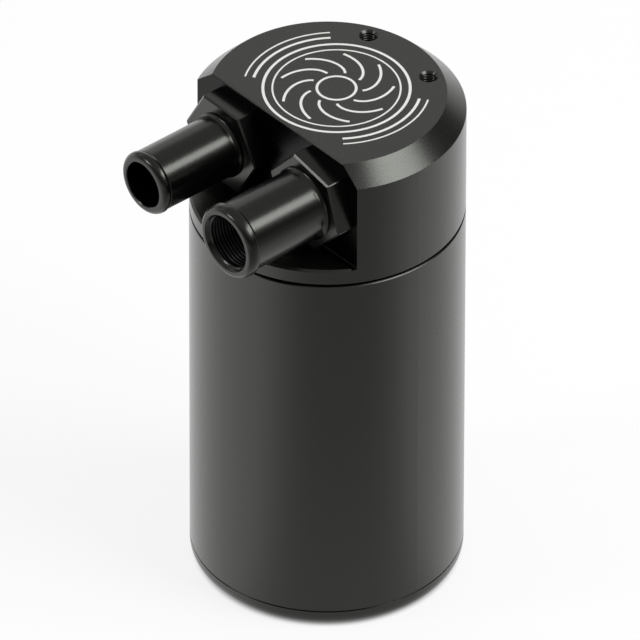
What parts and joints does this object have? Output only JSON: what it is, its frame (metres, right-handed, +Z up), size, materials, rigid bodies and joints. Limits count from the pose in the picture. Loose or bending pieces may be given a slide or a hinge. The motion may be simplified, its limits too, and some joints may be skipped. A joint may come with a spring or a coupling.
{
  "type": "oil catch can",
  "caption": "Round metal oil catch can with a machined head, two hose tails on a front flat, a screw-on can and a perforated baffle stack inside.",
  "frame": {"origin": "centre of the can's base, on the surface that it stands on", "axes": "+Z up along the can's axis, hose tails point to -Y, +X to the large fitting's side"},
  "size_m": [0.0762, 0.0903, 0.1564],
  "materials": {
    "black_anodised": "satin black anodised, fine blasted",
    "gloss_black_anodised": "smooth black anodised, turned",
    "black_rubber": "matt",
    "bare_aluminium": "mill finish",
    "stainless": "stainless steel",
    "zinc_steel": "zinc plated steel",
    "copper": "annealed copper"
  },
  "bodies": {
    "head_assembly": {"head": "black_anodised", "small_fitting": "gloss_black_anodised", "small_fitting_seal": "black_rubber", "large_fitting": "gloss_black_anodised", "large_fitting_seal": "black_rubber", "drop_tube": "bare_aluminium", "upper_plate": "stainless", "mesh_pad": "stainless", "lower_plate": "stainless", "post_1": "bare_aluminium", "post_2": "bare_aluminium", "post_3": "bare_aluminium", "spacer_1": "bare_aluminium", "spacer_2": "bare_aluminium", "spacer_3": "bare_aluminium", "plate_screws": "zinc_steel"},
    "seal_ring": {"can_seal": "black_rubber"},
    "can_assembly": {"can_tube": "black_anodised", "base_cap": "black_anodised", "base_seal": "black_rubber", "drain_plug": "zinc_steel", "drain_washer": "copper"}
  },
  "joints": [
    {"name": "can_lower", "type": "slide", "parent": "head_assembly", "child": "seal_ring", "axis": [0, 0, -1], "range_m": [0, 0.01]},
    {"name": "can_turn", "type": "hinge", "parent": "seal_ring", "child": "can_assembly", "pos_m": [0, 0, 0], "axis": [0, 0, -1], "range_deg": [0, 1800]}
  ],
  "couplings": [
    {"joint": "can_lower", "follows": "can_turn", "m_per_rad": 0.00031831}
  ]
}
